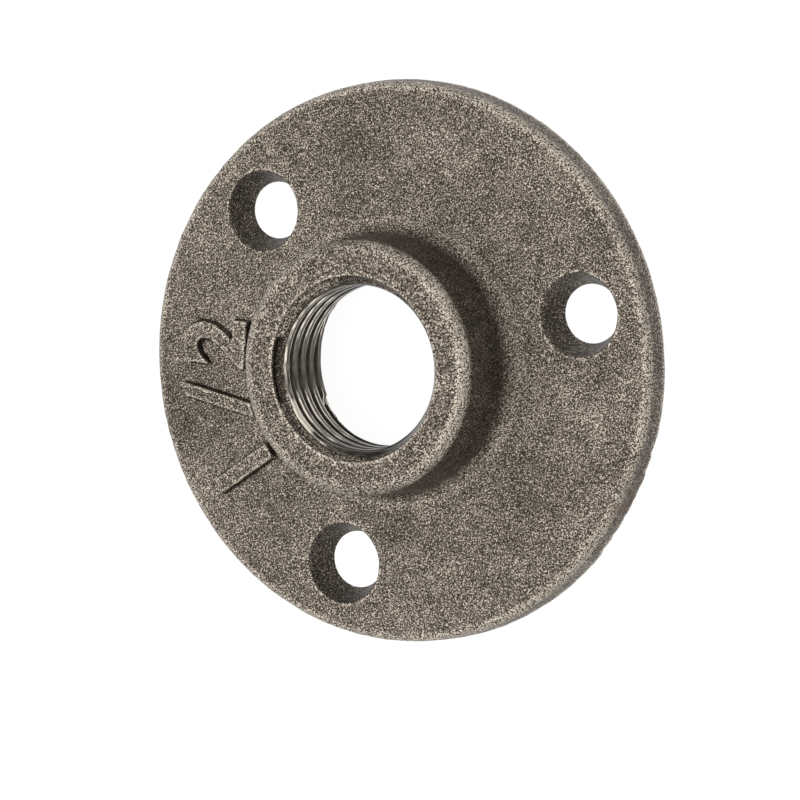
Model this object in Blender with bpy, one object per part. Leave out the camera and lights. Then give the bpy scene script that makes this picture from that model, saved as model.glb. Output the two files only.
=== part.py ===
# A cast iron pipe flange for half-inch pipe, made as one casting: a round plate with a short
# tapped hub in its middle, a pocket behind the thread and three tapered screw holes.
# Metres. It lies on its flat back, with the bore along +Z and the first screw hole on +X.

import bpy
import bmesh
from math import cos, pi, radians, sin, tan
from mathutils import Matrix, Vector

MM = 0.001

# The tapped bore, for half-inch pipe: 14 right-hand turns to the inch. The core was cast wide,
# so the tap cuts shallow grooves and leaves broad flat crests.
thread_major_radius = 10.478 * MM
thread_depth = 1.162 * MM
thread_pitch = 25.4 / 14 * MM
thread_turns = 6.5
groove_depth = 0.75 * MM
groove_flank_angle = radians(27.5)
groove_root_width = 0.12 * MM
groove_start_height = 2.36 * MM
mouth_clearance = 0.07 * MM
mouth_chamfer_angle = radians(33)

# The pocket behind the thread, open at the back
pocket_wall = 1.3 * MM
pocket_depth = 2.4 * MM
pocket_slope = radians(30)

# The hub
overall_height = 13.0 * MM
hub_nose_wall = 3.85 * MM
hub_draft = radians(3.5)
hub_nose_round = 1.3 * MM
hub_foot_fillet = 1.4 * MM

# The plate: land from the hub's foot to the screw holes, and from the holes to the rim
plate_thickness = 3.7 * MM
inner_land = 4.73 * MM
rim_land = 3.46 * MM
rim_draft = radians(6)
rim_front_round = 0.9 * MM
rim_back_chamfer = 0.3 * MM

# The screw holes, wider in front than behind
hole_count = 3
hole_back_radius = 3.33 * MM
hole_front_radius = 4.69 * MM

# How finely round shapes are cut
turn_steps = 96
corner_steps = 4
hole_steps = 40
thread_steps = 48
cut_margin = 1.0 * MM
groove_margin = 0.2 * MM
shading_angle = radians(30)

# What follows from these sizes
thread_minor_radius = thread_major_radius - thread_depth
mouth_radius = thread_major_radius + mouth_clearance
pocket_radius = thread_major_radius + pocket_wall
nose_radius = mouth_radius + hub_nose_wall
foot_radius = nose_radius + (overall_height - plate_thickness) * tan(hub_draft)
pitch_radius = foot_radius + inner_land + hole_front_radius
rim_back_radius = pitch_radius + hole_front_radius + rim_land
rim_front_radius = rim_back_radius - plate_thickness * tan(rim_draft)
groove_root_radius = thread_minor_radius + groove_depth


def clear_objects():
    for item in list(bpy.data.objects):
        bpy.data.objects.remove(item, do_unlink=True)


def cast_iron():
    material = bpy.data.materials.new("cast_iron")
    material.use_nodes = True
    shader = material.node_tree.nodes["Principled BSDF"]
    shader.inputs["Base Color"].default_value = (0.155, 0.135, 0.118, 1.0)
    shader.inputs["Metallic"].default_value = 0.75
    shader.inputs["Roughness"].default_value = 0.6
    return material


def at(radius, height):
    """A point of the section, which lies in the XZ plane."""
    return Vector((radius, 0.0, height))


def rounded(before, corner, after, radius):
    """The corner between two straight lines, replaced by an arc that touches them both."""
    to_before = (before - corner).normalized()
    to_after = (after - corner).normalized()
    half_angle = to_before.angle(to_after) / 2
    centre = corner + (to_before + to_after).normalized() * (radius / sin(half_angle))
    reach = radius / tan(half_angle)
    first = corner + to_before * reach - centre
    last = corner + to_after * reach - centre
    steps = range(corner_steps + 1)
    return [centre + first.slerp(last, step / corner_steps) * radius for step in steps]


def flange_section():
    """Half of the section through the axis, from the pocket's back edge outwards and round."""
    pocket_back = at(pocket_radius, 0.0)
    rim_back = at(rim_back_radius, 0.0)
    rim_front = at(rim_front_radius, plate_thickness)
    hub_foot = at(foot_radius, plate_thickness)
    nose_edge = at(nose_radius, overall_height)
    mouth_edge = at(mouth_radius, overall_height)
    chamfer_depth = (mouth_radius - thread_minor_radius) / tan(mouth_chamfer_angle)
    thread_top = at(thread_minor_radius, overall_height - chamfer_depth)
    slope_height = (pocket_radius - thread_minor_radius) * tan(pocket_slope)
    thread_end = at(thread_minor_radius, pocket_depth + slope_height)
    pocket_end = at(pocket_radius, pocket_depth)

    section = [pocket_back, at(rim_back_radius - rim_back_chamfer, 0.0)]
    section.append(rim_back + (rim_front - rim_back).normalized() * rim_back_chamfer)
    section += rounded(rim_back, rim_front, hub_foot, rim_front_round)
    section += rounded(rim_front, hub_foot, nose_edge, hub_foot_fillet)
    section += rounded(hub_foot, nose_edge, mouth_edge, hub_nose_round)
    section += [mouth_edge, thread_top, thread_end, pocket_end]
    return section


def ring_of(form, section):
    """The corners and edges of a closed section."""
    corners = [form.verts.new(point) for point in section]
    edges = [form.edges.new(pair) for pair in zip(corners, corners[1:] + corners[:1])]
    return corners + edges


def turned(name, section):
    """A closed solid, made by turning a closed section about the Z axis."""
    form = bmesh.new()
    bmesh.ops.spin(
        form, geom=ring_of(form, section), cent=(0, 0, 0), axis=(0, 0, 1), dvec=(0, 0, 0),
        angle=2 * pi, steps=turn_steps, use_merge=True, use_duplicate=False)
    bmesh.ops.recalc_face_normals(form, faces=form.faces)
    mesh = bpy.data.meshes.new(name)
    form.to_mesh(mesh)
    form.free()
    return linked(name, mesh)


def linked(name, mesh):
    item = bpy.data.objects.new(name, mesh)
    bpy.context.scene.collection.objects.link(item)
    return item


def hole_cutter(index):
    """A cone through the plate that meets both faces at the hole's own radii."""
    taper = (hole_front_radius - hole_back_radius) / plate_thickness
    length = plate_thickness + 2 * cut_margin
    form = bmesh.new()
    bmesh.ops.create_cone(
        form, cap_ends=True, segments=hole_steps, depth=length,
        radius1=hole_back_radius - taper * cut_margin,
        radius2=hole_front_radius + taper * cut_margin)
    turn = 2 * pi * index / hole_count
    place = Vector((pitch_radius * cos(turn), pitch_radius * sin(turn), plate_thickness / 2))
    bmesh.ops.transform(form, matrix=Matrix.Translation(place), verts=form.verts)
    mesh = bpy.data.meshes.new(f"screw_hole_{index + 1}_cutter")
    form.to_mesh(mesh)
    form.free()
    cutter = linked(mesh.name, mesh)
    cutter.hide_render = True
    cutter.display_type = "WIRE"
    return cutter


def groove_section():
    """The thread's groove, with its widest side inside the bore."""
    inner_radius = thread_minor_radius - groove_margin
    root_half = groove_root_width / 2
    inner_half = root_half + (groove_depth + groove_margin) * tan(groove_flank_angle)
    return [
        at(inner_radius, -inner_half), at(inner_radius, inner_half),
        at(groove_root_radius, root_half), at(groove_root_radius, -root_half)]


def thread_cutter():
    """The tap's cut: the groove coiled up the bore, from the pocket to above the mouth."""
    form = bmesh.new()
    bmesh.ops.spin(
        form, geom=ring_of(form, groove_section()), cent=(0, 0, 0), axis=(0, 0, 1),
        dvec=(0, 0, thread_pitch / thread_steps), angle=2 * pi * thread_turns,
        steps=round(thread_turns * thread_steps), use_merge=False, use_duplicate=False)
    bmesh.ops.holes_fill(form, edges=[edge for edge in form.edges if edge.is_boundary])
    bmesh.ops.translate(form, vec=(0, 0, groove_start_height), verts=form.verts)
    bmesh.ops.recalc_face_normals(form, faces=form.faces)
    mesh = bpy.data.meshes.new("thread_cutter")
    form.to_mesh(mesh)
    form.free()
    cutter = linked(mesh.name, mesh)
    cutter.hide_render = True
    cutter.display_type = "WIRE"
    return cutter


def cut_away(solid, cutters):
    """Cuts the cutters out of a solid for good, so that its new edges can be shaded."""
    for cutter in cutters:
        cut = solid.modifiers.new(cutter.name, "BOOLEAN")
        cut.operation = "DIFFERENCE"
        cut.solver = "EXACT"
        cut.object = cutter
    depsgraph = bpy.context.evaluated_depsgraph_get()
    solid.data = bpy.data.meshes.new_from_object(solid.evaluated_get(depsgraph))
    solid.modifiers.clear()
    for cutter in cutters:
        bpy.data.objects.remove(cutter)


def shade_round(solid):
    """Smooth shading that keeps sharp edges sharp and the flat faces flat."""
    solid.data.shade_smooth()
    solid.data.set_sharp_from_angle(angle=shading_angle)
    weighted = solid.modifiers.new("flat faces stay flat", "WEIGHTED_NORMAL")
    weighted.keep_sharp = True


def make_flange():
    flange = turned("flange", flange_section())
    flange.data.materials.append(cast_iron())
    cut_away(flange, [hole_cutter(index) for index in range(hole_count)])
    cut_away(flange, [thread_cutter()])
    shade_round(flange)


clear_objects()
make_flange()
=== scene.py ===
"""The looks of a cast iron pipe flange that lies on its flat back.

The casting is one mesh: a turned body, its tapered screw holes, the tapped thread in its hub, a
raised pipe size on its plate, and the uneven skin that sand leaves on iron. A stage of a white
floor, soft lamps and a camera shows it. Lengths are in metres, +Z runs along the bore.
"""

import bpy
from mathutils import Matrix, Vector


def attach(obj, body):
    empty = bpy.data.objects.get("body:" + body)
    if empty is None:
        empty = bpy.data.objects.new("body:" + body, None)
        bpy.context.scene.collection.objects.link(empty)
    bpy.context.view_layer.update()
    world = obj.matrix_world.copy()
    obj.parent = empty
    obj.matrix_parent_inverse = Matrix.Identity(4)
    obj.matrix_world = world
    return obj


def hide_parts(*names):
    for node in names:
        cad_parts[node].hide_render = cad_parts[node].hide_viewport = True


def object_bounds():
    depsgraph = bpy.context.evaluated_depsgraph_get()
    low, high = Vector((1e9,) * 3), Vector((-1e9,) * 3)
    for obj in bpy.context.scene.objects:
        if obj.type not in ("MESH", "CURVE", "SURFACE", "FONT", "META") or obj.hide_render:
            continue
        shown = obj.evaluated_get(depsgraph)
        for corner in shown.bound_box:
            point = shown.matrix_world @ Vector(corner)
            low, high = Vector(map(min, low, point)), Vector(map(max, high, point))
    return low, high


bl_info = {
    "name": "Cast Pipe Flange",
    "version": (1, 0, 0),
    "blender": (4, 5, 0),
    "location": "View3D > Sidebar > Flange",
    "description": "Builds a sand-cast iron pipe flange and the stage it lies on",
    "category": "Object",
}

from math import atan2, ceil, cos, hypot, pi, radians, sin, tan

import bpy
import bmesh
from bpy.props import FloatProperty, FloatVectorProperty, PointerProperty, StringProperty
from bpy.types import Operator, Panel, PropertyGroup
from mathutils import Matrix, Vector, noise

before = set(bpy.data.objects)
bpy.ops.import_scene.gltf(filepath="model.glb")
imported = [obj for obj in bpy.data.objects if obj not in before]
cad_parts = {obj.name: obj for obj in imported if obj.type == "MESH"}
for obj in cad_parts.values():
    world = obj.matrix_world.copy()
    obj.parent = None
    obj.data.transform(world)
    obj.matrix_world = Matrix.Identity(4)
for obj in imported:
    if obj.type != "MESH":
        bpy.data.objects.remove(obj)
cad_low, cad_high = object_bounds()

MM = 0.001
RIM_RADIUS = cad_high.x
HEIGHT = cad_high.z


def length(name, description, default):
    """A length that a user can set."""
    return FloatProperty(name=name, description=description, default=default, unit="LENGTH",
                         min=0.0, precision=5)


def slope(name, description, degrees):
    """An angle that a user can set."""
    return FloatProperty(name=name, description=description, default=radians(degrees),
                         subtype="ANGLE")


def colour(name, description, default):
    """A colour that a user can set."""
    return FloatVectorProperty(name=name, description=description, default=default,
                               subtype="COLOR", size=3, min=0.0, max=1.0)


class CastingSizes(PropertyGroup):
    """The sizes of the casting."""
    plate: length("Plate", "Thickness of the plate", 3.7 * MM)
    rim_draft: slope("Rim draft", "Lean of the rim towards the front", 6)
    rim_round: length("Rim round", "Radius of the rim's front edge", 0.9 * MM)
    rim_chamfer: length("Rim chamfer", "Chamfer of the rim's back edge", 0.3 * MM)
    hub_foot: length("Hub foot", "Radius of the hub where it meets the plate", 14.967 * MM)
    hub_nose: length("Hub nose", "Radius of the hub at its nose", 14.398 * MM)
    foot_fillet: length("Foot fillet", "Radius of the fillet at the hub's foot", 1.4 * MM)
    nose_round: length("Nose round", "Radius of the nose's outer edge", 1.3 * MM)
    mouth: length("Mouth", "Radius of the bore's mouth", 10.548 * MM)
    mouth_flare: slope("Mouth flare", "Lean of the mouth's chamfer", 43)
    far_flare: slope("Far flare", "Lean of the mouth on its worn side", 29.5)
    bore: length("Bore", "Radius of the bore on the thread's crests", 9.316 * MM)
    pocket: length("Pocket", "Radius of the pocket behind the thread", 11.778 * MM)
    pocket_depth: length("Pocket depth", "Depth of the pocket's straight wall", 2.4 * MM)
    pocket_slope: slope("Pocket slope", "Slope of the pocket's floor", 30)
    hole_circle: length("Hole circle", "Radius of the circle of screw holes", 24.387 * MM)
    hole_front: length("Hole front", "Radius of a screw hole in front", 4.69 * MM)
    hole_back: length("Hole back", "Radius of a screw hole behind", 3.33 * MM)
    hole_round: length("Hole round", "Radius of a screw hole's front edge", 0.22 * MM)


class ThreadSizes(PropertyGroup):
    """The sizes of the tapped thread."""
    pitch: length("Pitch", "Pitch of the thread", 1.814 * MM)
    depth: length("Depth", "Depth of the thread under its crests", 0.75 * MM)
    crest: length("Crest", "Width of the flat crests", 0.86 * MM)
    crest_break: length("Crest break", "Width of the broken edge of a crest", 0.06 * MM)
    turns: FloatProperty(name="Turns", description="Turns that are cut", default=6.5, min=1.0)
    start: length("Start", "Height of the first groove's middle at the angle zero", 2.36 * MM)
    taper: FloatProperty(name="Taper", description="Widening of the tap from the middle up",
                         default=0.03)


class MarkSizes(PropertyGroup):
    """The raised pipe size."""
    text: StringProperty(name="Text", description="Nominal pipe size in inches", default="1/2")
    size: length("Letter size", "Height of the type", 11.2 * MM)
    stroke: length("Stroke", "Width added to each side of a stroke", 0.22 * MM)
    slant: FloatProperty(name="Slant", description="Extra slant of a stroke between numbers",
                         default=0.25)
    relief: length("Relief", "Height over the plate", 0.85 * MM)
    shoulder: length("Shoulder", "Radius of the letters' upper edges", 0.2 * MM)
    draft: slope("Draft", "Lean of the letters' sides", 24)
    radius: length("Radius", "Distance of the type's middle from the bore's axis", 23.1 * MM)
    angle: slope("Angle", "Place of the middle letter", 180)
    spacing: slope("Spacing", "Angle from letter to letter", 19)


class IronFinish(PropertyGroup):
    """The colours and the grain of the iron."""
    iron: colour("Iron", "Colour of the cast skin", (0.082, 0.0655, 0.052))
    pale: colour("Pale grains", "Colour of the paler grains", (0.198, 0.169, 0.14))
    # The bright grains are partly a painted glint, of grains that would catch the lamps
    bright: colour("Bright grains", "Colour of the grains that glitter", (0.58, 0.52, 0.44))
    dark: colour("Dark grains", "Colour between the grains", (0.016, 0.0125, 0.009))
    # The cut colour is bright cut iron and the painted highlight on the crest edges; the shaded
    # colour is painted shade in the grooves
    cut: colour("Cut iron", "Colour of the thread's edges", (0.9, 0.82, 0.7))
    shaded: colour("Shaded cut", "Colour of the thread's grooves", (0.022, 0.018, 0.0135))
    rust: colour("Rust", "Colour of the light rust", (0.11, 0.065, 0.036))
    grain: length("Grain", "Size of the grains", 0.17 * MM)
    lumps: length("Lumps", "Depth of the uneven skin", 0.05 * MM)


PROPERTY_GROUPS = {
    "flange_casting": CastingSizes,
    "flange_thread": ThreadSizes,
    "flange_mark": MarkSizes,
    "flange_finish": IronFinish,
}

# How finely the shapes are cut, and the widths below which corners are merged
TURN_STEPS = 384
HOLE_STEPS = 72
THREAD_STEPS = 160
FINE = 0.42 * MM
COARSE = 1.2 * MM
BORE_ROW = 0.24 * MM
RIM_ARC_STEPS = 5
HUB_ARC_STEPS = 6
MOUTH_ARC_STEPS = 2
HOLE_ARC_STEPS = 4
LETTER_GRAIN = 0.14 * MM
CRUMB = 0.004 * MM
SPECK = 0.002 * MM
SHARP_ANGLE = radians(35)

HOLE_COUNT = 3
FULL_GROOVES = 5
MOUTH_ROUND = 0.25 * MM
GROOVE_ROOT = 0.12 * MM

# A hair's breadth, for telling on which side of an edge a place lies
HAIR = 0.05 * MM


def arc(start, end, blur):
    """A stretch of the circle round the bore, in degrees, and how softly both ends fade."""
    return radians(start), radians(end), radians(blur)


# The gate's broken stub on the rim, which ends in a thin dark line, a painted shade along its step
GATE_FROM = radians(-54)
GATE_TO = radians(-27.5)
GATE_SLANT = radians(4)
GATE_BLUR = radians(0.6)
GATE_RUST = arc(-44, -35.5, 4)
GATE_INNER = 1.3 * MM
GATE_OUTER = 0.5 * MM
GATE_DEPTH = 0.16 * MM
GATE_LUMPS = 0.14 * MM
GATE_LUMP_SIZE = 1.0 * MM
GATE_LINE = (radians(-0.4), radians(0.6), radians(0.5))
GATE_LINE_SHADE = 0.14

# The mouth above the thread: worn away from the near side, with a cast lip and a scoop
NEAR_SIDE = arc(84, 270, 16)
MOUTH_EDGE = 0.02 * MM
MOUTH_DEPTH = 2.3 * MM
NOSE_EDGE = 0.15 * MM
LIP = arc(86, 146, 4)
LIP_DEPTH = 0.3 * MM
LIP_RAGGED = 0.15 * MM
LIP_RAG_SIZE = 0.7 * MM
LIP_FOOT = 0.1 * MM
LIP_FULL = 0.6 * MM
LIP_FADE = 0.4 * MM
SCOOP = arc(147, 190, 2)
ARC_OF_SCOOP_SHADE = arc(147, 190, 4)
SCOOP_HEIGHT = 0.5 * MM
SCOOP_WALL = 0.12 * MM

# The last crest, which is whole only between two angles and broken away elsewhere
LAST_CREST_FROM = radians(122)
LAST_CREST_FULL = radians(166)
LAST_CREST_TO = radians(189)
LAST_CREST_END = radians(194)
LAST_CREST_HEIGHT = 2.35 * MM
BREAK_DEPTH = 0.45 * MM
BREAK_RAGGED = 0.12 * MM
BREAK_RAG_SIZE = 0.8 * MM

# Where the tap's cut shows, and where it is painted lit or painted in shade
THREAD_REACH = 1.2 * MM
THREAD_FOOT = 0.9 * MM
BRIGHT_SIDE = arc(107, 230, 5)
THREAD_SHADED_FRONT = arc(150, 186, 6)
THREAD_SHADE_BELOW = 2.4 * MM
THREAD_SHADE_FADE = 0.6 * MM
THREAD_SHADE_FULL = 0.95
FIRST_CREST = arc(190, 217, 2)
FIRST_CREST_FADE = 0.2 * MM

# The skin's lumps, and their share of that depth on the thread and on the flat back
LUMP_SIZE = 1.3 * MM
LUMP_FADE = 0.9
LUMP_STEP = 2.1
LUMP_LAYERS = 3
CUT_LUMPS = 0.15
BACK_LUMPS = 0.25

# Edges: how much they are softened to find them, and the pull that counts as a full edge
EDGE_PASSES = 5
EDGE_PULL = 0.3
EDGE_SPACING = 0.1 * MM

# How bright edges are, worn bright and painted with highlight: on the rim, on the nose, and less
# on the nose's sides
RIM_WEAR_AND_SHEEN = 1.4
RIM_EDGE_BAND = 1.6 * MM
NOSE_WEAR_AND_SHEEN = 0.8
NOSE_EDGE_BAND = 2.0 * MM
NOSE_SIDE_LOSS = 0.6
NOSE_SIDE_TURN = radians(4)
NOSE_SIDE_POWER = 16

# Darker and paler skin: stains on the land, painted shade on the size mark's sides, the hub's
# flank and the mouth, and painted light at the hub's foot
LAND_FROM = 2.0 * MM
MARK_FOOT = 0.03 * MM
MARK_TOP = 0.2 * MM
MARK_SIDE_SHADE = 0.16
FLANK_TOP = 1.2 * MM
FLANK_FROM = 0.9 * MM
FLANK_FULL = 1.8 * MM
FOOT_PAINTED_LIGHT = 0.045
FLANK_SHADE = 0.085
MOUTH_SHADE = 0.05
SCOOP_SHADE = 0.07
SCOOP_TOP_SHADE = 0.1
# Painted shade in the screw holes, from this depth below the plate's front to full at this one
HOLE_SHADE_FROM = 0.1 * MM
HOLE_SHADE_FULL = 0.6 * MM

# Stains and pale patches on the plate: X and Y of the middle, radius, and how pale each is
STAINS = (
    (1.8 * MM, 24.9 * MM, 3.2 * MM, -0.05),
    (2.0 * MM, 24.0 * MM, 11.0 * MM, -0.025),
    (13.8 * MM, -17.0 * MM, 7.5 * MM, -0.05),
    (-4.3 * MM, -18.7 * MM, 4.0 * MM, -0.06),
    (5.0 * MM, -22.0 * MM, 12.0 * MM, -0.02),
    (24.2 * MM, -12.8 * MM, 7.0 * MM, 0.03),
    (9.5 * MM, 21.4 * MM, 4.0 * MM, 0.02),
    (28.5 * MM, 16.5 * MM, 8.0 * MM, 0.04),
    (19.0 * MM, 13.7 * MM, 4.0 * MM, 0.02),
    (-22.5 * MM, 21.7 * MM, 6.0 * MM, 0.025),
    (-29.0 * MM, 1.0 * MM, 12.0 * MM, -0.05),
)


def at(radius, height):
    """A point of the turned section, which lies in the XZ plane."""
    return Vector((radius, 0.0, height))


def rounded(before, corner, after, radius, steps):
    """The corner between two straight lines, replaced by an arc that touches them both."""
    to_before = (before - corner).normalized()
    to_after = (after - corner).normalized()
    half_angle = to_before.angle(to_after) / 2
    centre = corner + (to_before + to_after).normalized() * (radius / sin(half_angle))
    reach = radius / tan(half_angle)
    first = corner + to_before * reach - centre
    last = corner + to_after * reach - centre
    return [centre + first.slerp(last, step / steps) * radius for step in range(steps + 1)]


def spread(points, spacing):
    """Points along a run, with more between them where they lie further apart than spacing."""
    filled = [points[0]]
    for before, after in zip(points, points[1:]):
        count = max(1, ceil((after - before).length / spacing))
        filled += [before.lerp(after, step / count) for step in range(1, count + 1)]
    return filled


def casting_section(sizes):
    """Half of the casting's section, as a closed ring of points."""
    lean = sizes.plate * tan(sizes.rim_draft)
    rim_back = at(RIM_RADIUS + sizes.rim_chamfer * sin(sizes.rim_draft), 0.0)
    rim_front = at(rim_back.x - lean, sizes.plate)
    hub_foot = at(sizes.hub_foot, sizes.plate)
    nose_edge = at(sizes.hub_nose, HEIGHT)
    mouth = at(sizes.mouth, HEIGHT)
    thread_top = at(sizes.bore, HEIGHT - (sizes.mouth - sizes.bore) / tan(sizes.mouth_flare))
    pocket_rise = (sizes.pocket - sizes.bore) * tan(sizes.pocket_slope)
    thread_end = at(sizes.bore, sizes.pocket_depth + pocket_rise)
    pocket_end = at(sizes.pocket, sizes.pocket_depth)
    pocket_back = at(sizes.pocket, 0.0)

    back = spread([pocket_back, at(rim_back.x - sizes.rim_chamfer, 0.0)], COARSE)
    front = [rim_back + (rim_front - rim_back).normalized() * sizes.rim_chamfer]
    front += rounded(rim_back, rim_front, hub_foot, sizes.rim_round, RIM_ARC_STEPS)
    front += rounded(rim_front, hub_foot, nose_edge, sizes.foot_fillet, HUB_ARC_STEPS)
    front += rounded(hub_foot, nose_edge, mouth, sizes.nose_round, HUB_ARC_STEPS)
    front += rounded(nose_edge, mouth, thread_top, MOUTH_ROUND, MOUTH_ARC_STEPS)
    front = spread(front, FINE)
    inside = spread([front[-1], thread_top, thread_end], BORE_ROW)[1:]
    pocket = spread([thread_end, pocket_end, pocket_back], COARSE)[1:-1]
    return back + front + inside + pocket


def linked(name, data):
    """A new object in the scene."""
    item = bpy.data.objects.new(name, data)
    bpy.context.scene.collection.objects.link(item)
    return item


def ring_of(form, points):
    """The corners and edges of a closed section."""
    corners = [form.verts.new(point) for point in points]
    edges = [form.edges.new(pair) for pair in zip(corners, corners[1:] + corners[:1])]
    return corners + edges


def solid_from(form, name):
    """An object from a finished bmesh, with its faces turned outwards."""
    bmesh.ops.recalc_face_normals(form, faces=form.faces)
    mesh = bpy.data.meshes.new(name)
    form.to_mesh(mesh)
    form.free()
    return linked(name, mesh)


def soften(form, passes):
    """Smooths every corner halfway towards its neighbours, as often as asked."""
    for _ in range(passes):
        bmesh.ops.smooth_vert(form, verts=form.verts, factor=0.5, use_axis_x=True,
                              use_axis_y=True, use_axis_z=True)


def turned(name, points, steps):
    """A closed solid, made by turning a closed section about the Z axis."""
    form = bmesh.new()
    bmesh.ops.spin(form, geom=ring_of(form, points), cent=(0, 0, 0), axis=(0, 0, 1),
                   angle=2 * pi, steps=steps, use_merge=True)
    return solid_from(form, name)


def hole_cutter(sizes, index):
    """A screw hole's tool: a cone that flares where it leaves the plate in front."""
    taper = (sizes.hole_front - sizes.hole_back) / sizes.plate
    over = 1.0 * MM
    foot = at(sizes.hole_back - taper * over, -over)
    edge = at(sizes.hole_front, sizes.plate)
    flare = rounded(foot, edge, edge + at(over, 0.0), sizes.hole_round, HOLE_ARC_STEPS)[:-1]
    wall = spread([foot, flare[0]], FINE)
    lip = at(flare[-1].x + over, sizes.plate + over)
    points = wall + flare[1:] + [lip]
    form = bmesh.new()
    corners = [form.verts.new(point) for point in points]
    edges = [form.edges.new(pair) for pair in zip(corners, corners[1:])]
    bmesh.ops.spin(form, geom=corners + edges, cent=(0, 0, 0), axis=(0, 0, 1),
                   angle=2 * pi, steps=HOLE_STEPS, use_merge=True)
    bmesh.ops.holes_fill(form, edges=[edge for edge in form.edges if edge.is_boundary])
    turn = 2 * pi * index / HOLE_COUNT
    place = (sizes.hole_circle * cos(turn), sizes.hole_circle * sin(turn), 0.0)
    bmesh.ops.translate(form, vec=place, verts=form.verts)
    return solid_from(form, f"screw_hole_{index + 1}")


def thread_cutter(sizes, thread):
    """The tap: a coil whose section is one groove, wide at the crests and narrow at the root."""
    over = 0.15 * MM
    wider = 0.09 * MM
    widest = 0.49 * thread.pitch
    crest_half = (thread.pitch - thread.crest) / 2
    upper = [
        (sizes.bore - over, min(crest_half + wider, widest)),
        (sizes.bore, crest_half),
        (sizes.bore + thread.crest_break, crest_half - thread.crest_break),
        (sizes.bore + thread.depth, GROOVE_ROOT / 2)]
    points = [at(radius, half) for radius, half in upper]
    points += [at(radius, -half) for radius, half in reversed(upper)]
    form = bmesh.new()
    bmesh.ops.spin(form, geom=ring_of(form, points), cent=(0, 0, 0), axis=(0, 0, 1),
                   dvec=(0, 0, thread.pitch / THREAD_STEPS), angle=2 * pi * thread.turns,
                   steps=int(THREAD_STEPS * thread.turns))
    bmesh.ops.holes_fill(form, edges=[edge for edge in form.edges if edge.is_boundary])
    bmesh.ops.translate(form, vec=(0, 0, thread.start), verts=form.verts)
    for point in form.verts:
        point.co.xy *= 1 + thread.taper * (point.co.z - HEIGHT / 2) / sizes.bore
    return solid_from(form, "thread_cutter")


def finished_mesh(source):
    """The mesh that an object has after its modifiers, or that a text object becomes."""
    depsgraph = bpy.context.evaluated_depsgraph_get()
    return bpy.data.meshes.new_from_object(source.evaluated_get(depsgraph))


def letter(sizes, mark, character, angle):
    """A raised letter whose foot points at the hub, cast with soft edges."""
    sunk = 0.5 * MM
    type_ = bpy.data.curves.new(character, "FONT")
    type_.body = character
    type_.size = mark.size
    type_.align_x = "CENTER"
    type_.align_y = "CENTER"
    type_.offset = mark.stroke
    type_.shear = mark.slant if character == "/" else 0.0
    type_.extrude = (mark.relief + sunk) / 2 - mark.shoulder
    type_.bevel_depth = mark.shoulder
    type_.bevel_resolution = 2
    shape = linked(character, type_)
    bpy.context.view_layer.update()
    form = bmesh.new()
    form.from_mesh(finished_mesh(shape))
    bpy.data.objects.remove(shape)
    bmesh.ops.remove_doubles(form, verts=form.verts, dist=SPECK)
    place = Vector((mark.radius * cos(angle), mark.radius * sin(angle),
                    sizes.plate + (mark.relief - sunk) / 2))
    turn = Matrix.Rotation(angle - pi / 2, 4, "Z")
    bmesh.ops.transform(form, matrix=Matrix.Translation(place) @ turn, verts=form.verts)
    form.normal_update()
    for point in form.verts:
        below = max(0.0, sizes.plate + mark.relief - mark.shoulder - point.co.z)
        point.co.xy += point.normal.xy.normalized() * below * tan(mark.draft)
    solid = solid_from(form, f"letter_{character}")
    cast = solid.modifiers.new("cast", "REMESH")
    cast.mode = "VOXEL"
    cast.voxel_size = LETTER_GRAIN
    form = bmesh.new()
    form.from_mesh(finished_mesh(solid))
    bpy.data.objects.remove(solid)
    soften(form, 2)
    return solid_from(form, f"letter_{character}")


def combine(solid, tool, operation):
    """Cuts or joins a tool into a solid and removes the tool."""
    step = solid.modifiers.new(operation, "BOOLEAN")
    step.operation = operation
    step.solver = "EXACT"
    step.object = tool
    made = finished_mesh(solid)
    solid.modifiers.clear()
    solid.data = made
    bpy.data.objects.remove(tool)


def lumpiness(place, size):
    """Soft unevenness of a cast skin, from about -1 to 1, with lumps of about this size."""
    return noise.fractal(place / size, LUMP_FADE, LUMP_STEP, LUMP_LAYERS)


def in_order(mesh):
    """A copy of a mesh in an order that every run shares, which the cuts leave to chance."""
    form = bmesh.new()
    places = [tuple(corner.co) for corner in mesh.vertices]
    order = sorted(range(len(places)), key=lambda index: places[index])
    corners = [form.verts.new(places[index]) for index in order]
    ranks = {index: rank for rank, index in enumerate(order)}
    rings = []
    for face in mesh.polygons:
        ring = [ranks[index] for index in face.vertices]
        first = ring.index(min(ring))
        rings.append(ring[first:] + ring[:first])
    for ring in sorted(rings):
        form.faces.new([corners[rank] for rank in ring])
    return form


def merged(solid):
    """A solid's mesh with the crumbs of its cuts cleared away."""
    form = in_order(solid.data)
    bmesh.ops.remove_doubles(form, verts=form.verts, dist=CRUMB)
    bmesh.ops.dissolve_degenerate(form, edges=form.edges, dist=SPECK)
    form.normal_update()
    return form


def note_edges(form):
    """Stores where edges stand proud, up to 1, and where corners lie deep, down to -1."""
    soft = form.copy()
    soften(soft, EDGE_PASSES)
    proud = form.verts.layers.float.new("proud")
    for point, softened in zip(form.verts, soft.verts):
        spacing = sum(edge.calc_length() for edge in point.link_edges) / len(point.link_edges)
        pulled = (point.co - softened.co).dot(point.normal)
        share = pulled / (EDGE_PULL * max(spacing, EDGE_SPACING))
        point[proud] = max(-1.0, min(1.0, share))
    soft.free()


def smooth_step(value, low, high):
    """0 below the lower value, 1 above the higher one, and a soft step between them."""
    share = max(0.0, min(1.0, (value - low) / (high - low)))
    return share * share * (3 - 2 * share)


def band(value, low, high, blur):
    """1 between two values, with soft ends."""
    rise = smooth_step(value, low - blur, low + blur)
    return rise * smooth_step(-value, -high - blur, -high + blur)


def mouth_starts_at(turn, thread):
    """The height of the highest crest's upper edge, above which the mouth is as it was cast."""
    middle = thread.start + thread.pitch * (FULL_GROOVES + turn / (2 * pi))
    return middle - (thread.pitch - thread.crest) / 2


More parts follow.
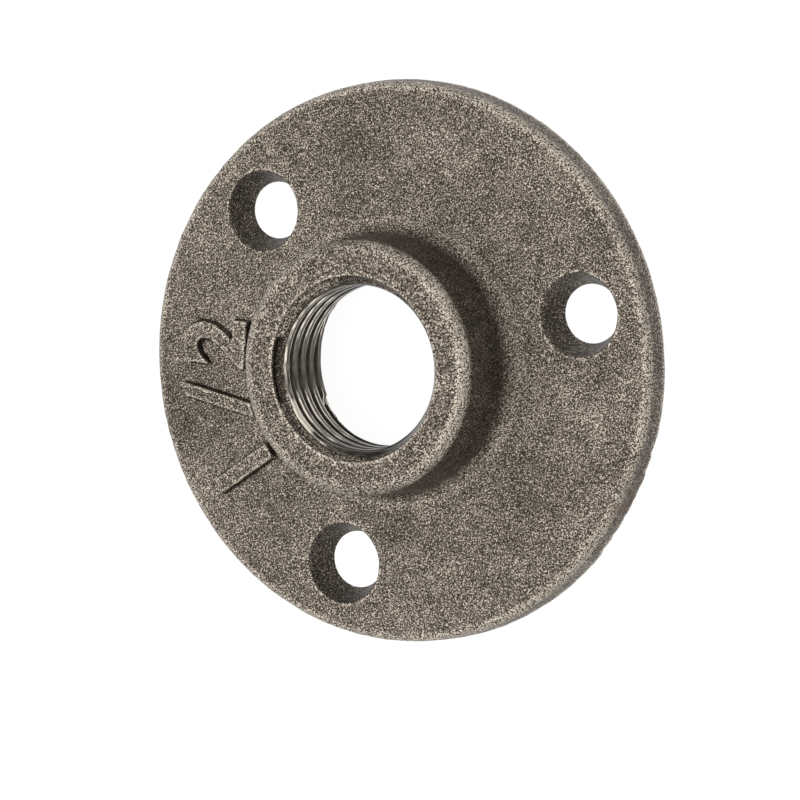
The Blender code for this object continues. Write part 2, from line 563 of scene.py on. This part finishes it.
def is_tapped(place, turn, sizes, thread):
    """Whether the tap cut this place: a crest or a groove, and not the mouth as cast."""
    in_bore = hypot(place.x, place.y) < sizes.bore + THREAD_REACH
    foot = sizes.pocket_depth + THREAD_FOOT
    return in_bore and foot < place.z < mouth_starts_at(turn, thread) + HAIR


def on_first_crest(place, turn, thread):
    """Whether a place lies on the first crest where the mouth's light catches it, painted there as
    a highlight, up to 1.
    """
    foot = mouth_starts_at(turn, thread) - thread.crest
    return smooth_step(place.z, foot - FIRST_CREST_FADE, foot) * band(turn, *FIRST_CREST)


def hole_depth(place, sizes):
    """How far inside a screw hole a place lies, from 0 at the plate's front to 1."""
    turns = [2 * pi * index / HOLE_COUNT for index in range(HOLE_COUNT)]
    nearest = min(hypot(place.x - sizes.hole_circle * cos(turn),
                        place.y - sizes.hole_circle * sin(turn)) for turn in turns)
    if nearest > sizes.hole_front + HAIR:
        return 0.0
    return smooth_step(sizes.plate - place.z, HOLE_SHADE_FROM, HOLE_SHADE_FULL)


def painted_shade_on_thread(place, turn):
    """How dark the crests are painted as shade: on the lower ones in front and all down the sides.
    """
    sides = 1 - band(turn, *BRIGHT_SIDE)
    low = smooth_step(HEIGHT - THREAD_SHADE_BELOW - place.z, 0.0, THREAD_SHADE_FADE)
    return max(sides, THREAD_SHADE_FULL * low * band(turn, *THREAD_SHADED_FRONT))


def shape_mouth(place, radius, turn, sizes, thread):
    """How far the mouth's skin lies out from the plain chamfer: a scoop and a worn far side."""
    start = mouth_starts_at(turn, thread)
    if radius > sizes.mouth + MOUTH_EDGE or place.z < min(start, HEIGHT - MOUTH_DEPTH):
        return 0.0
    far_side = 1 - band(turn, *NEAR_SIDE)
    worn_to = sizes.mouth - (HEIGHT - place.z) * tan(sizes.far_flare)
    moved = far_side * max(0.0, worn_to - radius)
    if start < place.z < HEIGHT - NOSE_EDGE:
        opened = smooth_step(place.z, start, start + SCOOP_HEIGHT)
        scooped = sizes.bore + (sizes.mouth - SCOOP_WALL - sizes.bore) * opened
        moved += band(turn, *SCOOP) * max(0.0, scooped - radius)
        ragged = LIP_DEPTH + LIP_RAGGED * noise.noise(place / LIP_RAG_SIZE)
        inwards = smooth_step(place.z, start + LIP_FOOT, start + LIP_FULL)
        inwards *= 1 - smooth_step(radius, sizes.mouth - LIP_FADE, sizes.mouth)
        moved -= band(turn, *LIP) * ragged * inwards
    return moved


def scar_thread(point, sizes, thread):
    """Shapes the mouth, and breaks the last crest where the core was wide."""
    place = point.co
    radius = hypot(place.x, place.y)
    turn = atan2(place.y, place.x) % (2 * pi)
    if radius > sizes.mouth + MOUTH_EDGE:
        return
    moved = shape_mouth(place, radius, turn, sizes, thread)
    if place.z < sizes.pocket_depth + LAST_CREST_HEIGHT:
        ragged = BREAK_RAGGED * noise.noise(place / BREAK_RAG_SIZE)
        broken = max(1 - smooth_step(turn, LAST_CREST_FROM, LAST_CREST_FULL),
                     smooth_step(turn, LAST_CREST_TO, LAST_CREST_END))
        moved = broken * max(0.0, sizes.bore + BREAK_DEPTH + ragged - radius)
    place.xy *= 1 + moved / radius


def gate_scar(place, radius, turn, sizes):
    """The gate's broken stub on the rim: how deep it lies here, its rust and its dark line of
    painted shade.
    """
    at_rim = smooth_step(radius, RIM_RADIUS - GATE_INNER, RIM_RADIUS - GATE_OUTER)
    end = GATE_TO - GATE_SLANT * place.z / sizes.plate
    before, after, blur = GATE_LINE
    depth = GATE_DEPTH + GATE_LUMPS * lumpiness(place, GATE_LUMP_SIZE)
    sunk = band(turn, GATE_FROM, end, GATE_BLUR) * at_rim * depth
    rusty = band(turn, *GATE_RUST) * at_rim
    line = band(turn, end + before, end + after, blur) * at_rim
    return sunk, rusty, line


def edge_sheen_and_wear(place, radius, turn, sizes):
    """How much an edge is worn bright and painted with highlight here: most on the rim, and least
    on the nose's sides.
    """
    if radius > RIM_RADIUS - RIM_EDGE_BAND:
        return RIM_WEAR_AND_SHEEN
    if radius > sizes.hub_nose - NOSE_EDGE_BAND and place.z > HEIGHT - NOSE_EDGE_BAND:
        return NOSE_WEAR_AND_SHEEN - NOSE_SIDE_LOSS * sin(turn + NOSE_SIDE_TURN) ** NOSE_SIDE_POWER
    return 1.0


def stains_and_painted_shading(place, radius, turn, sizes, thread, mark):
    """How much paler or darker the skin is here: stains on the land, and painted shade and painted
    light elsewhere.
    """
    if radius > sizes.hub_foot + LAND_FROM:
        shade = sum(pale * smooth_step(-hypot(place.x - x, place.y - y), -size, 0.0)
                    for x, y, size, pale in STAINS)
        # The size mark's sides are painted in shade
        on_side = MARK_FOOT < place.z - sizes.plate < mark.relief - MARK_TOP
        return shade - (MARK_SIDE_SHADE if on_side else 0.0)
    # The hub's foot gets painted light, and its flank painted shade higher up
    if radius > sizes.hub_nose - HAIR and place.z < HEIGHT - FLANK_TOP:
        flank = smooth_step(place.z, sizes.plate + FLANK_FROM, sizes.plate + FLANK_FULL)
        return FOOT_PAINTED_LIGHT - FLANK_SHADE * flank
    # The mouth is painted in shade, more in the scoop and towards its top
    start = mouth_starts_at(turn, thread)
    if radius < sizes.mouth - HAIR and place.z > start + HAIR:
        upper = smooth_step(place.z, start + SCOOP_HEIGHT, HEIGHT)
        scoop = band(turn, *ARC_OF_SCOOP_SHADE) * (SCOOP_SHADE + SCOOP_TOP_SHADE * upper)
        return -MOUTH_SHADE - scoop
    return 0.0


def weather(solid, sizes, thread, mark, finish):
    """Moves the skin in and out as sand does, marks what was cut, ground off or has rusted, and
    stores painted shade and highlight.
    """
    form = merged(solid)
    for point in form.verts:
        scar_thread(point, sizes, thread)
    form.normal_update()
    note_edges(form)
    names = ("cut", "thread_shade", "first_crest", "rust", "inner", "stains_and_shading", "wear_and_sheen")
    cut, thread_shade, first_crest, rust, inner, stains_and_shading, wear_and_sheen = (
        form.verts.layers.float.new(name) for name in names)
    moves = []
    for point in form.verts:
        place = point.co
        radius = hypot(place.x, place.y)
        turn = atan2(place.y, place.x)
        full_turn = turn % (2 * pi)
        depth = finish.lumps
        if is_tapped(place, full_turn, sizes, thread):
            depth *= CUT_LUMPS
            point[cut] = 1.0
            point[thread_shade] = painted_shade_on_thread(place, full_turn)
            point[first_crest] = on_first_crest(place, full_turn, thread)
        if place.z < HAIR:
            depth *= BACK_LUMPS
        sunk, rusty, line = gate_scar(place, radius, turn, sizes)
        point[rust] = rusty
        point[inner] = hole_depth(place, sizes)
        point[stains_and_shading] = stains_and_painted_shading(place, radius, full_turn, sizes, thread, mark)
        # The painted shade along the gate's step
        point[stains_and_shading] -= GATE_LINE_SHADE * line
        point[wear_and_sheen] = edge_sheen_and_wear(place, radius, turn, sizes)
        moves.append(point.normal * (depth * lumpiness(place, LUMP_SIZE) - sunk))
    for point, move in zip(form.verts, moves):
        on_back = point.co.z < HAIR
        point.co += move
        if on_back:
            point.co.z = max(0.0, point.co.z)
    form.to_mesh(solid.data)
    form.free()


class FLANGE_OT_casting(Operator):
    """Make the casting, with its holes, thread, size mark and skin"""
    bl_idname = "flange.casting"
    bl_label = "Casting"

    def execute(self, context):
        scene = context.scene
        sizes = scene.flange_casting
        casting = turned("flange_casting", casting_section(sizes), TURN_STEPS)
        for index in range(HOLE_COUNT):
            combine(casting, hole_cutter(sizes, index), "DIFFERENCE")
        combine(casting, thread_cutter(sizes, scene.flange_thread), "DIFFERENCE")
        mark = scene.flange_mark
        for step, character in enumerate(mark.text):
            angle = mark.angle - (step - (len(mark.text) - 1) / 2) * mark.spacing
            combine(casting, letter(sizes, mark, character, angle), "UNION")
        weather(casting, sizes, scene.flange_thread, mark, scene.flange_finish)
        casting.data.materials.clear()
        casting.data.materials.append(cast_iron(scene.flange_thread, scene.flange_finish))
        casting.data.shade_smooth()
        casting.data.set_sharp_from_angle(angle=SHARP_ANGLE)
        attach(casting, "root")
        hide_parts("flange")
        return {"FINISHED"}


class Nodes:
    """Short ways to add nodes to a material and to join them."""

    def __init__(self, name):
        self.material = bpy.data.materials.new(name)
        self.material.use_nodes = True
        self.tree = self.material.node_tree
        self.shader = self.tree.nodes["Principled BSDF"]
        self.place = self.add("ShaderNodeTexCoord").outputs["Object"]

    def add(self, kind, inputs=(), **settings):
        """A new node with its settings and inputs."""
        node = self.tree.nodes.new(kind)
        for name, value in settings.items():
            setattr(node, name, value)
        for socket, value in dict(inputs).items():
            self.set(node.inputs[socket], value)
        return node

    def set(self, socket, value):
        """Joins another node's output to a socket, or gives it a plain value."""
        if isinstance(value, bpy.types.NodeSocket):
            self.tree.links.new(value, socket)
        else:
            socket.default_value = value

    def noise(self, size, detail=2.0, roughness=0.5):
        """A noise from 0 to 1, with lumps of about this size."""
        node = self.add("ShaderNodeTexNoise", {"Vector": self.place, "Scale": 1.0 / size,
                                               "Detail": detail, "Roughness": roughness})
        return node.outputs["Fac"]

    def ramp(self, value, low, high, out_low=0.0, out_high=1.0):
        """A value moved from one range to another, and held inside it."""
        node = self.add("ShaderNodeMapRange", {"Value": value, "From Min": low, "From Max": high,
                                               "To Min": out_low, "To Max": out_high})
        return node.outputs["Result"]

    def drift(self, value, reach):
        """A noise as a soft change of this much to both sides of zero."""
        return self.ramp(value, 0.3, 0.7, -reach, reach)

    def mix(self, share, first, second):
        """A colour between two colours."""
        node = self.add("ShaderNodeMix", {"Factor": share, "A": first, "B": second},
                        data_type="RGBA")
        return node.outputs["Result"]

    def blend(self, share, first, second):
        """A number between two numbers."""
        node = self.add("ShaderNodeMix", {"Factor": share, "A": first, "B": second},
                        data_type="FLOAT")
        return node.outputs["Result"]

    def attribute(self, name):
        """A value that the mesh stores at its corners."""
        return self.add("ShaderNodeAttribute", attribute_name=name).outputs["Fac"]

    def colours(self, value, stops):
        """A colour from a row of stops with smooth changes between them."""
        node = self.add("ShaderNodeValToRGB", {"Fac": value})
        ramp = node.color_ramp
        ramp.interpolation = "B_SPLINE"
        for place, _ in stops[2:]:
            ramp.elements.new(place)
        for element, (place, tint) in zip(ramp.elements, stops):
            element.position = place
            element.color = opaque(tint)
        return node.outputs["Color"]

    def math(self, operation, first, second):
        """Two values put through one of the sums that Blender knows."""
        node = self.add("ShaderNodeMath", {0: first, 1: second}, operation=operation)
        return node.outputs["Value"]


def opaque(colour_value):
    """A colour with full alpha."""
    return (*colour_value, 1.0)


# The fine lines along the thread: their length round the bore, and how many cross one turn
LINE_LENGTH = 1.4 * MM
LINES_ACROSS = 18.0

# How brightly the thread's parts gleam as painted highlight, from 0 for the shaded colour to 1 for
# the cut colour
EDGE_GLEAM = 0.95
FLAT_GLEAM = 0.32
FIRST_CREST_GLEAM = 0.5
THREAD_SHADE_GLEAM = 0.14

# The cast skin: the sizes of its unevenness beside the grain, and what each shifts its tone
COARSE_GRAINS = 7
MOTTLE_SIZE = 2.6 * MM
CLOUD_SIZE = 7 * MM
RUST_PATCH_SIZE = 1.6 * MM
EDGE_CONTRAST = 1.5
PLAIN_LEVEL = 0.5
EDGE_LEVEL = 0.69
CORNER_SHADE = -0.2
HOLE_WALL_SHADE = -0.08
COARSE_LEVEL = 0.03
MOTTLE_LEVEL = 0.03
CLOUD_LEVEL = 0.02
RUST_SHARE = 0.75
CUT_ROUGHNESS = 0.3
CLEAN_METALLIC = 0.94
RUSTY_METALLIC = 0.5
COARSE_HEIGHT = 0.6
CUT_BUMP = 0.3
BUMP_DEPTH = 0.1 * MM


def across_thread(nodes, thread):
    """0 in the middle of a crest, and 1 in the middle of a groove, with fine lines along both."""
    place = nodes.add("ShaderNodeSeparateXYZ", {"Vector": nodes.place}).outputs
    turns = nodes.math("DIVIDE", nodes.math("ARCTAN2", place["Y"], place["X"]), 2 * pi)
    rise = nodes.math("DIVIDE", nodes.math("SUBTRACT", place["Z"], thread.start), thread.pitch)
    phase = nodes.math("FRACT", nodes.math("SUBTRACT", rise, turns), 0.0)
    offset = nodes.math("ABSOLUTE", nodes.math("SUBTRACT", phase, 0.5), 0.0)
    along = nodes.add("ShaderNodeCombineXYZ", {
        "X": nodes.math("DIVIDE", place["X"], LINE_LENGTH),
        "Y": nodes.math("DIVIDE", place["Y"], LINE_LENGTH),
        "Z": nodes.math("MULTIPLY", phase, LINES_ACROSS)})
    lines = nodes.add("ShaderNodeTexNoise", {
        "Vector": along.outputs["Vector"], "Scale": 1.0, "Detail": 2.0})
    return nodes.math("MULTIPLY", offset, 2.0), lines.outputs["Fac"]


def cut_iron(nodes, thread, finish):
    """The thread: bright lines on its crests' edges, a painted highlight, on dull flats and on
    grooves painted black as shade.
    """
    across, lines = across_thread(nodes, thread)
    crest = thread.crest / thread.pitch
    on_crest = nodes.ramp(across, crest, crest + 0.06, 1.0, 0.0)
    # The crests' edges get a painted highlight, broken by the fine lines
    edge = nodes.math("MULTIPLY", nodes.ramp(across, crest - 0.22, crest - 0.1), on_crest)
    edge = nodes.math("MULTIPLY", edge, nodes.ramp(lines, 0.38, 0.55, 0.25, 1.0))
    flat = nodes.math("MULTIPLY", nodes.ramp(lines, 0.48, 0.7, 0.0, FLAT_GLEAM), on_crest)
    # The first crest's painted highlight
    first = nodes.math("MULTIPLY", nodes.attribute("first_crest"), on_crest)
    gleam = nodes.math("ADD", nodes.math("MULTIPLY", edge, EDGE_GLEAM), flat)
    gleam = nodes.math("ADD", gleam, nodes.math("MULTIPLY", first, FIRST_CREST_GLEAM))
    # Where the thread is painted in shade, only faint lines gleam
    in_shade = nodes.ramp(lines, 0.35, 0.65, 0.0, THREAD_SHADE_GLEAM)
    in_shade = nodes.math("MULTIPLY", in_shade, nodes.ramp(on_crest, 0.0, 1.0, 0.3, 1.0))
    gleam = nodes.blend(nodes.attribute("thread_shade"), gleam, in_shade)
    return nodes.mix(gleam, opaque(finish.shaded), opaque(finish.cut)), lines


def cast_iron(thread, finish):
    """Sand-cast iron: a fine bright grain, partly a painted glint, on a warm grey brown, worn
    bright on its edges and painted with highlight there.
    """
    nodes = Nodes("cast_iron_skin")
    proud = nodes.attribute("proud")
    cut = nodes.attribute("cut")
    rust = nodes.attribute("rust")
    grain = nodes.noise(finish.grain, detail=2.0, roughness=0.6)
    coarse = nodes.noise(finish.grain * COARSE_GRAINS, detail=3.0)
    mottles = nodes.noise(MOTTLE_SIZE, detail=2.0)
    clouds = nodes.noise(CLOUD_SIZE, detail=3.0)

    # Edges are brighter, from wear and a painted highlight, with their grain in stronger contrast
    sheen_and_wear = nodes.math("MULTIPLY", nodes.ramp(proud, 0.1, 0.65), nodes.attribute("wear_and_sheen"))
    contrast = nodes.ramp(sheen_and_wear, 0.0, 1.0, 1.0, EDGE_CONTRAST)
    level = nodes.math("MULTIPLY", nodes.ramp(grain, 0.2, 0.8, -0.5, 0.5), contrast)
    shifts = (
        nodes.ramp(sheen_and_wear, 0.0, 1.0, PLAIN_LEVEL, EDGE_LEVEL),
        # Deep corners are painted in shade
        nodes.ramp(proud, -0.45, -1.0, 0.0, CORNER_SHADE),
        nodes.drift(coarse, COARSE_LEVEL),
        nodes.drift(mottles, MOTTLE_LEVEL),
        nodes.drift(clouds, CLOUD_LEVEL),
        nodes.attribute("stains_and_shading"),
        # The screw holes' walls are painted in shade, more deeply down
        nodes.math("MULTIPLY", nodes.attribute("inner"), HOLE_WALL_SHADE))
    for shift in shifts:
        level = nodes.math("ADD", level, shift)
    # The brightest stop is partly a painted glint
    tone = nodes.colours(level, [(0.28, finish.dark), (0.5, finish.iron), (0.62, finish.pale),
                                 (0.76, finish.bright)])

    cut_tone, lines = cut_iron(nodes, thread, finish)
    tone = nodes.mix(cut, tone, cut_tone)
    patches = nodes.ramp(nodes.noise(RUST_PATCH_SIZE, detail=3.0), 0.45, 0.62, 0.0, RUST_SHARE)
    tone = nodes.mix(nodes.math("MULTIPLY", rust, patches), tone, opaque(finish.rust))
    roughness = nodes.blend(cut, nodes.ramp(coarse, 0.3, 0.7, 0.42, 0.58), CUT_ROUGHNESS)
    height = nodes.math("ADD", grain, nodes.math("MULTIPLY", coarse, COARSE_HEIGHT))
    bump = nodes.add("ShaderNodeBump", {
        "Height": nodes.blend(cut, height, lines),
        "Strength": nodes.ramp(cut, 0.0, 1.0, 1.0, CUT_BUMP),
        "Distance": BUMP_DEPTH})
    looks = {
        "Base Color": tone,
        "Roughness": roughness,
        "Metallic": nodes.ramp(rust, 0.0, 1.0, CLEAN_METALLIC, RUSTY_METALLIC),
        "Normal": bump.outputs["Normal"]}
    for socket, value in looks.items():
        nodes.set(nodes.shader.inputs[socket], value)
    return nodes.material


FLOOR_HALF = 1.5
FLOOR_WHITE = 0.96
FLOOR_SHADE = (0.12, 0.12, 0.12, 1.0)
FLOOR_BOUNCE = (0.75, 0.75, 0.75, 1.0)
ROOM_LIGHT = 0.5

# The camera's distance and turns, what it aims at, and a picture 800 pixels wide
CAMERA_TURN = radians(-4.085)
CAMERA_TILT = radians(29.033)
CAMERA_ROLL = radians(-9.39)
CAMERA_DISTANCE = 331.946 * MM
CAMERA_AIM = Vector((-1.745, -4.274, 0.0)) * MM
PICTURE_WIDTH = 800
PIXELS_PER_MM = 8.613
SENSOR_WIDTH = 36.0
CAMERA_LENS = PIXELS_PER_MM * CAMERA_DISTANCE / MM * SENSOR_WIDTH / PICTURE_WIDTH
CAMERA_NEAR = 0.01

# Each lamp's place, width and power
LAMPS = {
    "overhead_lamp": ((-0.12, -0.02, 0.65), 0.45, 2.0),
}


def seen_or_mirrored(tree):
    """1 where the camera or a reflection looks, and 0 for light on its way elsewhere."""
    seen = tree.nodes.new("ShaderNodeLightPath")
    either = tree.nodes.new("ShaderNodeMath")
    either.operation = "MAXIMUM"
    tree.links.new(seen.outputs["Is Camera Ray"], either.inputs[0])
    tree.links.new(seen.outputs["Is Glossy Ray"], either.inputs[1])
    return either.outputs["Value"]


def white_floor():
    """White where the camera or a reflection sees it, with the casting's soft shadow."""
    material = bpy.data.materials.new("white_floor")
    material.use_nodes = True
    tree = material.node_tree
    nodes, links = tree.nodes, tree.links
    nodes.clear()
    output = nodes.new("ShaderNodeOutputMaterial")
    diffuse = nodes.new("ShaderNodeBsdfDiffuse")
    diffuse.inputs["Color"].default_value = FLOOR_BOUNCE
    shade = nodes.new("ShaderNodeBsdfDiffuse")
    shade.inputs["Color"].default_value = FLOOR_SHADE
    glow = nodes.new("ShaderNodeEmission")
    glow.inputs["Strength"].default_value = FLOOR_WHITE
    both = nodes.new("ShaderNodeAddShader")
    links.new(shade.outputs["BSDF"], both.inputs[0])
    links.new(glow.outputs["Emission"], both.inputs[1])
    mixed = nodes.new("ShaderNodeMixShader")
    links.new(seen_or_mirrored(tree), mixed.inputs["Fac"])
    links.new(diffuse.outputs["BSDF"], mixed.inputs[1])
    links.new(both.outputs["Shader"], mixed.inputs[2])
    links.new(mixed.outputs["Shader"], output.inputs["Surface"])
    return material


def make_floor():
    """The pale floor, in the plane of the casting's back."""
    form = bmesh.new()
    bmesh.ops.create_grid(form, x_segments=1, y_segments=1, size=FLOOR_HALF)
    mesh = bpy.data.meshes.new("floor")
    form.to_mesh(mesh)
    form.free()
    mesh.materials.append(white_floor())
    linked("floor", mesh)


def make_world():
    """Even light from all round, and a white background."""
    world = bpy.data.worlds.new("studio")
    world.use_nodes = True
    tree = world.node_tree
    back = tree.nodes["Background"]
    back.inputs["Color"].default_value = (1.0, 1.0, 1.0, 1.0)
    strength = tree.nodes.new("ShaderNodeMapRange")
    tree.links.new(seen_or_mirrored(tree), strength.inputs["Value"])
    strength.inputs["To Min"].default_value = ROOM_LIGHT
    strength.inputs["To Max"].default_value = 1.0
    tree.links.new(strength.outputs["Result"], back.inputs["Strength"])
    bpy.context.scene.world = world


def make_lamp(name, place, size, power):
    """A round lamp that points at the middle of the floor."""
    light = bpy.data.lights.new(name, "AREA")
    light.shape = "DISK"
    light.size = size
    light.energy = power
    lamp = linked(name, light)
    lamp.location = place
    lamp.rotation_euler = (-Vector(place)).to_track_quat("-Z", "Y").to_euler()


def make_camera():
    """The camera looks down on the plate, leaning towards +X."""
    turn = Matrix.Rotation(CAMERA_TURN, 3, "Z")
    back = Vector((sin(CAMERA_TILT), 0.0, cos(CAMERA_TILT)))
    level = Vector((0.0, 1.0, 0.0)).cross(back).normalized()
    upright = back.cross(level)
    right = level * cos(CAMERA_ROLL) + upright * sin(CAMERA_ROLL)
    up = upright * cos(CAMERA_ROLL) - level * sin(CAMERA_ROLL)
    camera = linked("camera", bpy.data.cameras.new("camera"))
    axes = Matrix((turn @ right, turn @ up, turn @ back)).transposed()
    place = turn @ (CAMERA_AIM + back * CAMERA_DISTANCE)
    camera.matrix_world = Matrix.Translation(place) @ axes.to_4x4()
    camera.data.sensor_width = SENSOR_WIDTH
    camera.data.lens = CAMERA_LENS
    camera.data.clip_start = CAMERA_NEAR
    bpy.context.scene.camera = camera


class FLANGE_OT_stage(Operator):
    """Make the floor, the lamps and the camera"""
    bl_idname = "flange.stage"
    bl_label = "Stage"

    def execute(self, context):
        make_floor()
        make_world()
        for name, (place, size, power) in LAMPS.items():
            make_lamp(name, place, size, power)
        make_camera()
        context.scene.view_settings.view_transform = "Standard"
        return {"FINISHED"}


class FLANGE_PT_panel(Panel):
    """The flange's sizes and the steps that make it"""
    bl_idname = "FLANGE_PT_panel"
    bl_label = "Flange"
    bl_space_type = "VIEW_3D"
    bl_region_type = "UI"
    bl_category = "Flange"

    def draw(self, context):
        for name, group in PROPERTY_GROUPS.items():
            box = self.layout.box()
            box.label(text=group.__doc__)
            for size in group.__annotations__:
                box.prop(getattr(context.scene, name), size)
        self.layout.operator(FLANGE_OT_casting.bl_idname)
        self.layout.operator(FLANGE_OT_stage.bl_idname)


CLASSES = (*PROPERTY_GROUPS.values(), FLANGE_OT_casting, FLANGE_OT_stage, FLANGE_PT_panel)


def register():
    """Registers the classes and gives the scene its sizes."""
    for item in CLASSES:
        bpy.utils.register_class(item)
    for name, group in PROPERTY_GROUPS.items():
        setattr(bpy.types.Scene, name, PointerProperty(type=group))


def unregister():
    """Takes the sizes and the classes away again."""
    for name in PROPERTY_GROUPS:
        delattr(bpy.types.Scene, name)
    for item in reversed(CLASSES):
        bpy.utils.unregister_class(item)


def main():
    register()
    bpy.ops.flange.stage()
    bpy.ops.flange.casting()


if __name__ == "__main__":
    main()
